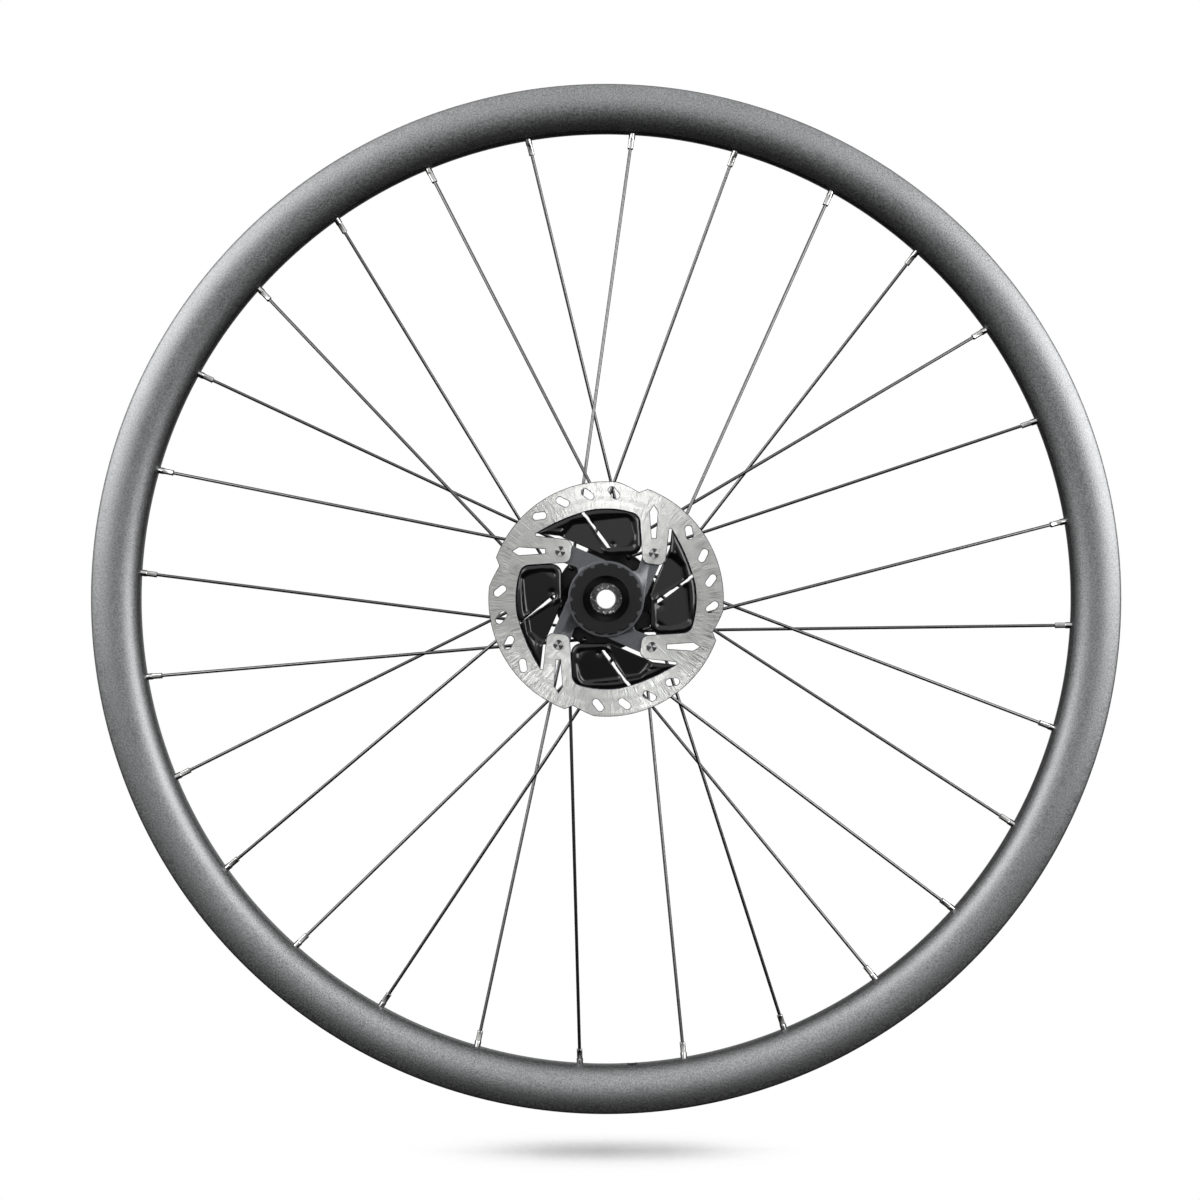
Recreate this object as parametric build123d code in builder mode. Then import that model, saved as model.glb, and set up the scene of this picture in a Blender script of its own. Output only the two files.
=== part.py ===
from build123d import *
import os
from math import atan2, cos, degrees, radians, sin, sqrt

os.makedirs("parts", exist_ok=True)

# A front bicycle wheel for a disc brake. The wheel turns about Y, +Z is up, and the origin is the
# middle of the axle in the rim's mid-plane. The disc side faces -Y and is called the left side.
# All lengths are in millimetres and all angles in degrees, counted from +X towards +Z.

# Rim: one hollow extrusion, rolled into a hoop.
bead_seat_radius = 311.0
bead_seat_width = 20.4
flange_height = 5.0
rim_depth = 27.7
rim_width = 25.0
rim_widest_depth = 9.6
rim_edge_taper = 1.2
rim_edge_chamfer = 0.6
rim_facets = 6
bead_shelf_width = 3.2
hook_height = 1.6
hook_lip = 0.5
well_depth = 5.0
well_floor_width = 9.0
bridge_wall = 1.4
rim_wall = 1.3
spoke_bed_thickness = 2.6
access_hole_radius = 4.25
valve_hole_radius = 3.25
valve_angle = 273.2

# Spokes and nipples.
spoke_count = 28
spoke_crossings = 2
spoke_radius = 1.0
spoke_head_radius = 1.9
spoke_head_height = 1.0
elbow_reach = 1.2
elbow_stand_off = 1.9
spoke_hole_clearance = 0.2
nipple_body_radius = 2.0
nipple_flats = 3.4
nipple_head_radius = 3.05
nipple_head_height = 2.4
nipple_reach = 9.4
nipple_hole_clearance = 0.25
nipple_seat_gap = 0.15
thread_clearance = 0.02

# Hub shell, with its flanges measured from the rim's mid-plane.
left_flange_offset = 21.0
right_flange_offset = 33.0
left_hole_circle_radius = 28.2
right_hole_circle_radius = 25.2
flange_thickness = 3.0
flange_margin = 2.9
flange_edge_chamfer = 0.8
flange_root_chamfer = 2.2
waist_radius = 14.5
waist_length = 14.0
bearing_stop_height = 2.0
housing_wall = 4.0
shell_end_margin = 2.0

# Axle, end caps, bearings and seals.
over_end_caps = 100.0
axle_bore_radius = 6.05
axle_wall = 1.45
end_cap_nose = 6.0
end_cap_radius = 9.5
end_cap_chamfer = 0.5
bearing_radial_depth = 6.5
bearing_width = 7.0
race_thickness = 1.8
ball_row_width = 4.0
ball_row_clearance = 0.05
left_bearing_stand_off = 12.5
right_bearing_stand_off = 5.5
dust_seal_thickness = 1.0
dust_seal_clearance = 0.08

# Disc rotor, carrier and lockring.
rotor_radius = 70.0
rotor_stand_off = 5.5
track_thickness = 1.8
track_width = 16.4
recess_depth = 3.6
recess_start_angle = 69.3
recess_floor_angle = 72.8
recess_end_angle = 84.0
recess_rounding = 1.5
window_corner_depth = 4.0
arm_edge_slant = 6.4
window_arc_end_angle = 100.0
window_flat_depth = 0.3
window_corner_rounding = 0.8
window_round_corner_radius = 6.0
arm_offset = 28.4
arm_tip_half_width = 6.7
arm_tip_reach = 20.5
arm_tip_slant = 0.9
arm_tip_rounding = 4.5
arm_root_half_width = 8.5
rivet_reach = 27.2
arm_slot_rivet_distance = 9.0
arm_slot_edge_distance = 7.4
arm_slot_point_length = 3.8
arm_slot_width = 4.8
arm_slot_taper = 2.2
vent_edge_distance = 6.7
vent_length = 8.2
vent_width = 4.2
vent_angles = (85.7, 100.0, 114.1, 128.7)
vent_slants = (-47.0, -47.0, -50.0, -30.0)
fin_gap = 1.5
fin_spider_gap = 2.2
fin_inner_edge = 26.2
fin_corner_rounding = 6.3
fin_thickness = 1.2
fin_dish_depth = 1.6
fin_dish_slope = 45.0
fin_left_dish_depths = (7.9, 4.9, 6.8, 20.4, 28.5, 16.4)
fin_left_dish_angles = (123.2, 113.7, 104.5, 98.3, 94.1, 126.3)
fin_right_dish_depths = (6.4, 3.1, 12.6, 19.4, 23.3)
fin_right_dish_angles = (100.9, 75.1, 67.0, 68.5, 85.1)
fin_slit_width = 1.8
fin_slit_foot = (2.2, 29.9)
fin_slit_angle = 126.5
carrier_ring_height = 7.0
carrier_ring_wall = 5.0
spider_thickness = 3.0
spider_edge_offset = 21.0
spider_edge_angle = 156.3
spider_root_rounding = 3.0
spider_arm_width = 8.6
shoulder_margin = 0.5
shoulder_flange_radius = 20.5
shoulder_flange_width = 2.0
spline_teeth = 24
spline_tooth_height = 0.9
spline_tooth_width = 2.0
spline_clearance = 0.1
spline_end_margin = 0.5
rivet_shank_radius = 2.3
rivet_head_radius = 3.0
rivet_head_height = 0.55
rivet_hole_clearance = 0.05
lockring_radius = 21.25
lockring_thickness = 2.2
lockring_thread_step = 1.5
lockring_sleeve_wall = 1.75
lockring_sleeve_length = 5.6
lockring_notches = 16
lockring_notch_radius = 1.5
lockring_chamfer = 0.5
thread_wall = 1.2
washer_thickness = 0.8
washer_margin = 0.8

# Sizes and places that follow from the values above.
rim_half_width = rim_width / 2
rim_outer_radius = bead_seat_radius + flange_height
rim_apex_at = rim_outer_radius - rim_depth
rim_widest_at = rim_outer_radius - rim_widest_depth
rim_edge_at = rim_outer_radius - rim_edge_chamfer
seat_half = bead_seat_width / 2
shelf_half = seat_half - bead_shelf_width
well_half = well_floor_width / 2
well_at = bead_seat_radius - well_depth
bed_at = rim_apex_at + spoke_bed_thickness
nipple_hole_radius = nipple_body_radius + nipple_hole_clearance
nipple_seat_at = spoke_bed_thickness + nipple_seat_gap

rim_pitch = 360 / spoke_count
crossing_angle = spoke_crossings * 2 * rim_pitch
spoke_hole_radius = spoke_radius + spoke_hole_clearance

half_length = over_end_caps / 2
axle_tube_end = half_length - end_cap_nose
axle_radius = axle_bore_radius + axle_wall
bearing_radius = axle_radius + bearing_radial_depth
inner_race_radius = axle_radius + race_thickness
outer_race_bore = bearing_radius - race_thickness
left_bearing_face = left_flange_offset + left_bearing_stand_off
right_bearing_face = right_flange_offset + right_bearing_stand_off
left_bearing_back = left_bearing_face - bearing_width
right_bearing_back = right_bearing_face - bearing_width
housing_radius = bearing_radius + housing_wall
shell_bore_radius = bearing_radius - bearing_stop_height
left_flange_radius = left_hole_circle_radius + flange_margin
right_flange_radius = right_hole_circle_radius + flange_margin
shell_right_end = right_bearing_face + dust_seal_thickness + shell_end_margin

rotor_shoulder = left_bearing_face + shoulder_margin
rotor_plane = rotor_shoulder + rotor_stand_off
track_front = rotor_plane + track_thickness / 2
track_back = rotor_plane - track_thickness / 2
track_inner_radius = rotor_radius - track_width
window_corner_radius = track_inner_radius + window_corner_depth
window_flat_radius = track_inner_radius + window_flat_depth
vent_circle_radius = rotor_radius - vent_edge_distance
arm_slot_start = rivet_reach + arm_slot_rivet_distance
arm_slot_end = sqrt((rotor_radius - arm_slot_edge_distance) ** 2 - arm_offset**2)
spider_back = track_back - spider_thickness
carrier_front = rotor_shoulder + carrier_ring_height
spline_end = carrier_front - spline_end_margin
thread_radius = bearing_radius + lockring_thread_step
spline_root_radius = thread_radius + thread_wall
spline_tip_radius = spline_root_radius + spline_tooth_height
carrier_ring_radius = spline_tip_radius + spline_clearance + carrier_ring_wall
washer_front = carrier_front + washer_thickness
lockring_front = washer_front + lockring_thickness
sleeve_radius = thread_radius - thread_clearance
sleeve_bore_radius = sleeve_radius - lockring_sleeve_wall


def polar(radius, angle):
    """The point of the wheel's plane at this radius and angle, as (x, z)."""
    return radius * cos(radians(angle)), radius * sin(radians(angle))


def turned_ring(inner_radius, outer_radius, start, end):
    """A plain ring about the wheel's axis, from y = start to y = end."""
    with BuildPart() as ring:
        with BuildSketch(Plane.XY):
            with Locations(((inner_radius + outer_radius) / 2, (start + end) / 2)):
                Rectangle(outer_radius - inner_radius, abs(end - start))
        revolve(axis=Axis.Y)
    return ring


def rim_curve(bed, half_width):
    """Corners of the rim's rounded lower side in its section, from the spoke bed out to the widest
    place: equal steps of an ellipse, with the first and the last facet flat."""
    half_step = radians(45 / rim_facets)
    angles = [(2 * corner + 1) * half_step for corner in range(rim_facets)]
    return [
        (
            rim_widest_at - (rim_widest_at - bed) * cos(angle) / cos(half_step),
            half_width * sin(angle) / cos(half_step),
        )
        for angle in angles
    ]


def spoke_route(index):
    """Where a spoke's head sits, where it bends, and where it meets the rim's spoke bed.

    Odd spokes go to the left flange. Pairs of neighbours lean one way and the next pair the other,
    and the spokes that lean back have their heads on the outside of the flange.
    """
    rim_angle = valve_angle + rim_pitch * (index + 0.5)
    outward = -1 if index % 2 else 1
    leans_back = index % 4 < 2
    hub_angle = rim_angle + (crossing_angle if leans_back else -crossing_angle)
    flange_y = -left_flange_offset if index % 2 else right_flange_offset
    circle_radius = left_hole_circle_radius if index % 2 else right_hole_circle_radius
    head_side = outward if leans_back else -outward
    hub_x, hub_z = polar(circle_radius, hub_angle)
    rim_x, rim_z = polar(rim_apex_at, rim_angle)
    head = Vector(hub_x, flange_y + head_side * flange_thickness / 2, hub_z)
    bend = Vector(hub_x, flange_y - head_side * (flange_thickness / 2 + elbow_stand_off), hub_z)
    return head, bend, Vector(rim_x, 0, rim_z)


def rim_hole_plane(index):
    """A plane on the spoke bed whose normal points along the spoke, away from the hub."""
    _, bend, bed = spoke_route(index)
    return Plane(origin=bed, z_dir=(bed - bend).normalized())


def arm_point(reach, offset, arm=0):
    """A point of the rotor in the frame of one arm: reach runs out along it, offset across it."""
    x, z = -reach, arm_offset + offset
    for _ in range(arm):
        x, z = z, -x
    return x, z


# Rim: the hollow section is turned into a hoop and drilled for the nipples, for the tool that
# reaches them through the tyre's side, and for the valve.
with BuildPart() as rim:
    with BuildSketch(Plane.XY):
        with BuildLine():
            section_side = [
                *rim_curve(rim_apex_at, rim_half_width),
                *[
                    (
                        rim_widest_at + share * (rim_edge_at - rim_widest_at),
                        rim_half_width - rim_edge_taper * share**2,
                    )
                    for share in (1 / 3, 2 / 3, 1)
                ],
                (rim_outer_radius, rim_half_width - rim_edge_taper - rim_edge_chamfer),
                (rim_outer_radius, seat_half - hook_lip),
                (rim_outer_radius - hook_height, seat_half - hook_lip),
                (rim_outer_radius - hook_height - hook_lip, seat_half),
                (bead_seat_radius, seat_half),
                (bead_seat_radius, shelf_half),
                (well_at, well_half),
            ]
            Polyline(*section_side, *[(r, -y) for r, y in reversed(section_side)], close=True)
        make_face()
        with BuildLine():
            cavity_side = [
                *rim_curve(bed_at, rim_half_width - rim_wall),
                (bead_seat_radius - bridge_wall, shelf_half + bridge_wall),
                (well_at - bridge_wall, well_half),
            ]
            Polyline(*cavity_side, *[(r, -y) for r, y in reversed(cavity_side)], close=True)
        make_face(mode=Mode.SUBTRACT)
    revolve(axis=Axis.Y)
    with Locations(*[rim_hole_plane(index).location for index in range(spoke_count)]):
        Cylinder(nipple_hole_radius, 3 * spoke_bed_thickness, mode=Mode.SUBTRACT)
    bridge_middle_share = (well_at - bridge_wall / 2) / rim_apex_at
    for index in range(spoke_count):
        bed = spoke_route(index)[2]
        with Locations(Plane(origin=bed * bridge_middle_share, z_dir=bed).location):
            Cylinder(access_hole_radius, 2 * bridge_wall, mode=Mode.SUBTRACT)
    valve_x, valve_z = polar(rim_outer_radius - rim_depth / 2, valve_angle)
    with Locations(Plane(origin=(valve_x, 0, valve_z), z_dir=(valve_x, 0, valve_z)).location):
        Cylinder(valve_hole_radius, 1.5 * rim_depth, mode=Mode.SUBTRACT)
rim.part.label = "rim"
export_step(rim.part, "parts/rim.step")

# Spokes: each wire passes through its flange hole, bends in two steps, and runs straight into
# its nipple.
spoke_end_at = nipple_seat_at + nipple_head_height - spoke_radius
for index in range(spoke_count):
    head, bend, bed = spoke_route(index)
    run = (bed - bend).normalized()
    stub = (bend - head).normalized()
    with BuildPart() as spoke:
        with BuildLine() as wire:
            Polyline(head, bend - stub * elbow_reach, bend + run * elbow_reach, bed + run * spoke_end_at)
        with BuildSketch(Plane(origin=head, z_dir=stub)):
            Circle(spoke_radius)
        sweep(path=wire.wire(), transition=Transition.RIGHT)
        with Locations(Plane(origin=head, z_dir=-stub).location):
            Cylinder(
                spoke_head_radius,
                spoke_head_height,
                align=(Align.CENTER, Align.CENTER, Align.MIN),
            )
    spoke.part.label = f"spoke_{index + 1:02d}"
    export_step(spoke.part, f"parts/{spoke.part.label}.step")

# Nipples: a squared body for the spoke key and a conical head that pulls on the spoke bed.
with BuildPart() as nipple:
    with BuildSketch(Plane.XY.offset(-nipple_reach)):
        Circle(nipple_body_radius)
        Rectangle(nipple_flats, nipple_flats, mode=Mode.INTERSECT)
    extrude(amount=nipple_reach + nipple_seat_at)
    with Locations((0, 0, nipple_seat_at)):
        Cone(
            nipple_body_radius,
            nipple_head_radius,
            nipple_head_height,
            align=(Align.CENTER, Align.CENTER, Align.MIN),
        )
    with Locations((0, 0, nipple_seat_at + nipple_head_height)):
        Hole(spoke_radius + thread_clearance)
with BuildPart() as spoke_nipples:
    with Locations(*[rim_hole_plane(index).location for index in range(spoke_count)]):
        add(nipple.part)
spoke_nipples.part.label = "spoke_nipples"
export_step(spoke_nipples.part, "parts/spoke_nipples.step")

# Hub shell: turned from one bar, with the rotor's spline cut on its left end.
left_face_out = -(left_flange_offset + flange_thickness / 2)
left_face_in = -(left_flange_offset - flange_thickness / 2)
right_face_in = right_flange_offset - flange_thickness / 2
right_face_out = right_flange_offset + flange_thickness / 2
waist_at = (left_face_in + right_face_in) / 2
with BuildPart() as hub_shell:
    with BuildSketch(Plane.XY):
        with BuildLine():
            Polyline(
                (spline_root_radius, -spline_end),
                (spline_root_radius, -rotor_shoulder),
                (shoulder_flange_radius, -rotor_shoulder),
                (shoulder_flange_radius, -rotor_shoulder + shoulder_flange_width),
                (housing_radius, -rotor_shoulder + shoulder_flange_width + flange_root_chamfer),
                (housing_radius, left_face_out - flange_root_chamfer),
                (housing_radius + flange_root_chamfer, left_face_out),
                (left_flange_radius - flange_edge_chamfer, left_face_out),
                (left_flange_radius, left_face_out + flange_edge_chamfer),
                (left_flange_radius, left_face_in - flange_edge_chamfer),
                (left_flange_radius - flange_edge_chamfer, left_face_in),
                (housing_radius + flange_root_chamfer, left_face_in),
                (housing_radius, left_face_in + flange_root_chamfer),
                (waist_radius, waist_at - waist_length / 2),
                (waist_radius, waist_at + waist_length / 2),
                (housing_radius, right_face_in - flange_root_chamfer),
                (housing_radius + flange_root_chamfer, right_face_in),
                (right_flange_radius - flange_edge_chamfer, right_face_in),
                (right_flange_radius, right_face_in + flange_edge_chamfer),
                (right_flange_radius, right_face_out - flange_edge_chamfer),
                (right_flange_radius - flange_edge_chamfer, right_face_out),
                (housing_radius, right_face_out),
                (housing_radius, shell_right_end - flange_edge_chamfer),
                (housing_radius - flange_edge_chamfer, shell_right_end),
                (bearing_radius, shell_right_end),
                (bearing_radius, right_bearing_back),
                (shell_bore_radius, right_bearing_back),
                (shell_bore_radius, -left_bearing_back),
                (bearing_radius, -left_bearing_back),
                (bearing_radius, -left_bearing_face - dust_seal_thickness),
                (thread_radius, -left_bearing_face - dust_seal_thickness),
                (thread_radius, -spline_end),
                close=True,
            )
        make_face()
    revolve(axis=Axis.Y)
    with BuildSketch(Plane.XZ.offset(rotor_shoulder)):
        with PolarLocations(spline_root_radius, spline_teeth):
            Rectangle(2 * spline_tooth_height, spline_tooth_width)
        Circle(spline_root_radius - thread_wall / 2, mode=Mode.SUBTRACT)
    extrude(amount=spline_end - rotor_shoulder)
    for index in range(spoke_count):
        head, bend, _ = spoke_route(index)
        hole_middle = head + (bend - head).normalized() * (flange_thickness / 2)
        with Locations(Plane(origin=hole_middle, z_dir=(0, 1, 0)).location):
            Cylinder(spoke_hole_radius, 2 * flange_thickness, mode=Mode.SUBTRACT)
hub_shell.part.label = "hub_shell"
export_step(hub_shell.part, "parts/hub_shell.step")

# Axle tube, with an end cap pushed over each end against the bearing's inner race.
axle_tube = turned_ring(axle_bore_radius, axle_radius, -axle_tube_end, axle_tube_end)
axle_tube.part.label = "axle_tube"
export_step(axle_tube.part, "parts/axle_tube.step")

for side, outward, race_face in (("left", -1, left_bearing_face), ("right", 1, right_bearing_face)):
    with BuildPart() as end_cap:
        with BuildSketch(Plane.XY):
            with BuildLine():
                Polyline(
                    (axle_radius, outward * race_face),
                    (end_cap_radius, outward * race_face),
                    (end_cap_radius, outward * (half_length - end_cap_chamfer)),
                    (end_cap_radius - end_cap_chamfer, outward * half_length),
                    (axle_bore_radius, outward * half_length),
                    (axle_bore_radius, outward * axle_tube_end),
                    (axle_radius, outward * axle_tube_end),
                    close=True,
                )
            make_face()
        revolve(axis=Axis.Y)
    end_cap.part.label = f"end_cap_{side}"
    export_step(end_cap.part, f"parts/{end_cap.part.label}.step")

# Bearings: two races with the row of balls and its cage between them, one plain ring here,
# and a rubber seal pressed into the shell outside each bearing.
for side, outward, race_face in (("left", -1, left_bearing_face), ("right", 1, right_bearing_face)):
    race_back = race_face - bearing_width
    outer_race = turned_ring(outer_race_bore, bearing_radius, outward * race_back, outward * race_face)
    outer_race.part.label = f"bearing_{side}_outer_race"
    export_step(outer_race.part, f"parts/{outer_race.part.label}.step")

    inner_race = turned_ring(axle_radius, inner_race_radius, outward * race_back, outward * race_face)
    inner_race.part.label = f"bearing_{side}_inner_race"
    export_step(inner_race.part, f"parts/{inner_race.part.label}.step")

    row_middle = outward * (race_face + race_back) / 2
    ball_row = turned_ring(
        inner_race_radius + ball_row_clearance,
        outer_race_bore - ball_row_clearance,
        row_middle - ball_row_width / 2,
        row_middle + ball_row_width / 2,
    )
    ball_row.part.label = f"bearing_{side}_ball_row"
    export_step(ball_row.part, f"parts/{ball_row.part.label}.step")

    dust_seal = turned_ring(
        end_cap_radius + dust_seal_clearance,
        bearing_radius,
        outward * race_face,
        outward * (race_face + dust_seal_thickness),
    )
    dust_seal.part.label = f"dust_seal_{side}"
    export_step(dust_seal.part, f"parts/{dust_seal.part.label}.step")

# Rotor: the opening inside the braking ring, between its four inward arms. One window runs from
# an arm's tip round to the next arm, and four of them make the opening.
root_offset = -arm_root_half_width
root_reach = sqrt(track_inner_radius**2 - (arm_offset + root_offset) ** 2)
outer_tip = (arm_tip_reach - arm_tip_slant, arm_tip_half_width)
inner_tip = (arm_tip_reach + arm_tip_slant, -arm_tip_half_width)
arm_edge_end = Vector(*arm_point(*outer_tip))
arm_edge_direction = Vector(*polar(1, 180 - arm_edge_slant))
tip_along = arm_edge_end.dot(arm_edge_direction)
arm_edge_length = sqrt(window_corner_radius**2 - arm_edge_end.length**2 + tip_along**2) - tip_along
window_corner = arm_edge_end + arm_edge_direction * arm_edge_length
sharp_corner = (window_corner.X, window_corner.Y)
sharp_corner_angle = degrees(atan2(sharp_corner[1], sharp_corner[0]))
round_corner = arm_point(root_reach, root_offset, arm=1)
arc_end = polar(track_inner_radius, window_arc_end_angle)
arc_start_angle = degrees(atan2(round_corner[1], round_corner[0]))
with BuildSketch() as rotor_window:
    with BuildLine():
        ThreePointArc(
            round_corner,
            polar(track_inner_radius, (arc_start_angle + window_arc_end_angle) / 2),
            arc_end,
        )
        ThreePointArc(
            arc_end,
            polar(window_flat_radius, (window_arc_end_angle + sharp_corner_angle) / 2),
            sharp_corner,
        )
        Polyline(
            sharp_corner,
            arm_point(*outer_tip),
            arm_point(*inner_tip),
            (0, 0),
            arm_point(*inner_tip, arm=1),
            round_corner,
        )
    make_face()
with BuildSketch() as rotor_opening:
    with PolarLocations(0, 4):
        add(rotor_window.sketch)
    for corner, rounding in (
        (sharp_corner, window_corner_rounding),
        (round_corner, window_round_corner_radius),
        (arm_point(*outer_tip), arm_tip_rounding),
        (arm_point(*inner_tip), arm_tip_rounding),
    ):
        corner_radius = sqrt(corner[0] ** 2 + corner[1] ** 2)
        fillet([v for v in vertices() if abs(Vector(v).length - corner_radius) < 0.01], rounding)

# Braking ring: stamped and ground steel with recesses in its edge, oval vents and an arm slot.
with BuildSketch() as edge_recess:
    with BuildLine():
        recess_floor = polar(rotor_radius - recess_depth, recess_floor_angle)
        Polyline(
            recess_floor,
            polar(rotor_radius, recess_start_angle),
            polar(rotor_radius + recess_depth, recess_start_angle),
            polar(rotor_radius + recess_depth, recess_end_angle),
            polar(rotor_radius, recess_end_angle),
        )
        ThreePointArc(
            polar(rotor_radius, recess_end_angle),
            polar(rotor_radius - recess_depth / 2, (recess_floor_angle + recess_end_angle) / 2),
            recess_floor,
        )
    make_face()
    fillet(vertices().sort_by_distance(recess_floor)[0], recess_rounding)
slot_inner_half = (arm_slot_width - arm_slot_taper) / 2
slot_shoulder = arm_slot_end - arm_slot_point_length
with BuildSketch() as arm_slot:
    with BuildLine():
        Polyline(
            arm_point(arm_slot_start, slot_inner_half),
            arm_point(slot_shoulder, arm_slot_width / 2),
            arm_point(arm_slot_end, 0),
            arm_point(slot_shoulder, -arm_slot_width / 2),
            arm_point(arm_slot_start, -slot_inner_half),
            close=True,
        )
    make_face()
with BuildPart() as rotor_braking_track:
    with BuildSketch(Plane.XZ.offset(track_back)):
        Circle(rotor_radius)
        add(rotor_opening.sketch, mode=Mode.SUBTRACT)
        with PolarLocations(0, 4):
            add(edge_recess.sketch, mode=Mode.SUBTRACT)
            add(arm_slot.sketch, mode=Mode.SUBTRACT)
            with Locations(arm_point(rivet_reach, 0)):
                Circle(rivet_shank_radius + rivet_hole_clearance, mode=Mode.SUBTRACT)
            for angle, slant in zip(vent_angles, vent_slants):
                with Locations(Location((*polar(vent_circle_radius, angle), 0), angle - 90 + slant)):
                    SlotOverall(vent_length, vent_width, mode=Mode.SUBTRACT)
    extrude(amount=track_thickness)
rotor_braking_track.part.label = "rotor_braking_track"
export_step(rotor_braking_track.part, "parts/rotor_braking_track.step")

# Cooling fins: each fills one window, bonded along the ring's inner edge and the next arm, with a
# gap beside the first arm, and one slanting slit between two shallow dishes.
arm_edge = arm_edge_end - window_corner
arm_edge_normal = Vector(-arm_edge.Y, arm_edge.X).normalized()
spider_normal = Vector(*polar(1, spider_edge_angle - 90))
fin_start = window_corner + arm_edge_normal * fin_gap - arm_edge
fin_bend = window_corner + arm_edge_normal * fin_gap
fin_line = spider_edge_offset + fin_spider_gap
fin_bend += arm_edge * ((fin_line - fin_bend.dot(spider_normal)) / arm_edge.dot(spider_normal))
fin_foot = ((fin_line - fin_inner_edge * spider_normal.Y) / spider_normal.X, fin_inner_edge)
with BuildSketch() as fin_outline:
    with BuildLine():
        Polyline(
            (fin_start.X, fin_start.Y),
            (fin_bend.X, fin_bend.Y),
            fin_foot,
            (arm_offset, fin_inner_edge),
            (arm_offset, rotor_radius),
            (fin_start.X, rotor_radius),
            close=True,
        )
    make_face()
    add(rotor_opening.sketch, mode=Mode.INTERSECT)
    fillet(
        vertices().sort_by_distance((arm_offset - arm_tip_half_width, fin_inner_edge))[0],
        fin_corner_rounding,
    )
    slit_place = Vector(*fin_slit_foot) + Vector(*polar(track_inner_radius / 2, fin_slit_angle))
    with Locations(Location((slit_place.X, slit_place.Y, 0), fin_slit_angle)):
        SlotOverall(track_inner_radius, fin_slit_width, mode=Mode.SUBTRACT)
fin_front = rotor_plane + fin_thickness / 2
fin_back = rotor_plane - fin_thickness / 2
with BuildPart() as fin:
    with BuildSketch(Plane.XZ.offset(fin_back)):
        add(fin_outline.sketch)
    extrude(amount=fin_thickness)
    for depths, angles in (
        (fin_left_dish_depths, fin_left_dish_angles),
        (fin_right_dish_depths, fin_right_dish_angles),
    ):
        floor = [polar(track_inner_radius - depth, angle) for depth, angle in zip(depths, angles)]
        for plane, mode in ((fin_back, Mode.ADD), (fin_front, Mode.SUBTRACT)):
            with BuildSketch(Plane.XZ.offset(plane - fin_dish_depth)):
                with BuildLine():
                    Polyline(*floor, close=True)
                make_face()
            extrude(amount=fin_dish_depth, taper=-fin_dish_slope, mode=mode)
    with BuildSketch(Plane.XZ.offset(fin_back - fin_dish_depth)):
        add(fin_outline.sketch)
    extrude(amount=fin_dish_depth + fin_thickness, mode=Mode.INTERSECT)
for number in range(4):
    with BuildPart() as cooling_fin:
        add(fin.part.rotate(Axis.Y, -90 * number))
    cooling_fin.part.label = f"cooling_fin_{number + 1}"
    export_step(cooling_fin.part, f"parts/{cooling_fin.part.label}.step")

# Carrier: a splined ring on the hub with four arms that sweep out under the rotor's arms.
rivet_place = Vector(*arm_point(rivet_reach, 0))
spider_end_radius = spider_edge_offset - rivet_place.dot(spider_normal)
with BuildSketch() as spider_arm:
    with BuildLine():
        Polyline(
            spider_normal * spider_edge_offset,
            rivet_place + spider_normal * spider_end_radius,
            rivet_place - spider_normal * spider_end_radius,
            spider_normal * (spider_edge_offset - spider_arm_width),
            close=True,
        )
    make_face()
    with Locations((rivet_place.X, rivet_place.Y)):
        Circle(spider_end_radius)
with BuildSketch() as spider:
    Circle(carrier_ring_radius)
    with PolarLocations(0, 4):
        add(spider_arm.sketch)
    arm_roots = [v for v in vertices() if abs(Vector(v).length - carrier_ring_radius) < 0.01]
    fillet(arm_roots, spider_root_rounding)
    with PolarLocations(0, 4):
        with Locations((rivet_place.X, rivet_place.Y)):
            Circle(rivet_shank_radius + rivet_hole_clearance, mode=Mode.SUBTRACT)
with BuildPart() as rotor_carrier:
    with BuildSketch(Plane.XZ.offset(rotor_shoulder)):
        Circle(carrier_ring_radius)
    extrude(amount=carrier_ring_height)
    with BuildSketch(Plane.XZ.offset(spider_back)):
        add(spider.sketch)
    extrude(amount=spider_thickness)
    with BuildSketch(Plane.XZ.offset(rotor_shoulder)):
        Circle(spline_root_radius + spline_clearance)
        with PolarLocations(spline_root_radius, spline_teeth):
            Rectangle(2 * (spline_tooth_height + spline_clearance), spline_tooth_width + 2 * spline_clearance)
    extrude(amount=carrier_ring_height, mode=Mode.SUBTRACT)
rotor_carrier.part.label = "rotor_carrier"
export_step(rotor_carrier.part, "parts/rotor_carrier.step")

# Rivets: each shank passes through a rotor arm and a carrier arm, with a flat head on each side.
with BuildPart() as rivet:
    with Locations((0, 0, -rivet_head_height)):
        Cylinder(rivet_head_radius, rivet_head_height, align=(Align.CENTER, Align.CENTER, Align.MIN))
    Cylinder(rivet_shank_radius, track_front - spider_back, align=(Align.CENTER, Align.CENTER, Align.MIN))
    with Locations((0, 0, track_front - spider_back)):
        Cylinder(rivet_head_radius, rivet_head_height, align=(Align.CENTER, Align.CENTER, Align.MIN))
with BuildPart() as rotor_rivets:
    with Locations(Plane.XZ.offset(spider_back)):
        with PolarLocations(0, 4):
            with Locations((rivet_place.X, rivet_place.Y)):
                add(rivet.part)
rotor_rivets.part.label = "rotor_rivets"
export_step(rotor_rivets.part, "parts/rotor_rivets.step")

# Lockring: its sleeve screws into the hub and its notched rim presses the washer on the carrier.
washer = turned_ring(
    thread_radius, shoulder_flange_radius - washer_margin, -carrier_front, -washer_front
)
washer.part.label = "lockring_washer"
export_step(washer.part, "parts/lockring_washer.step")

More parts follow.
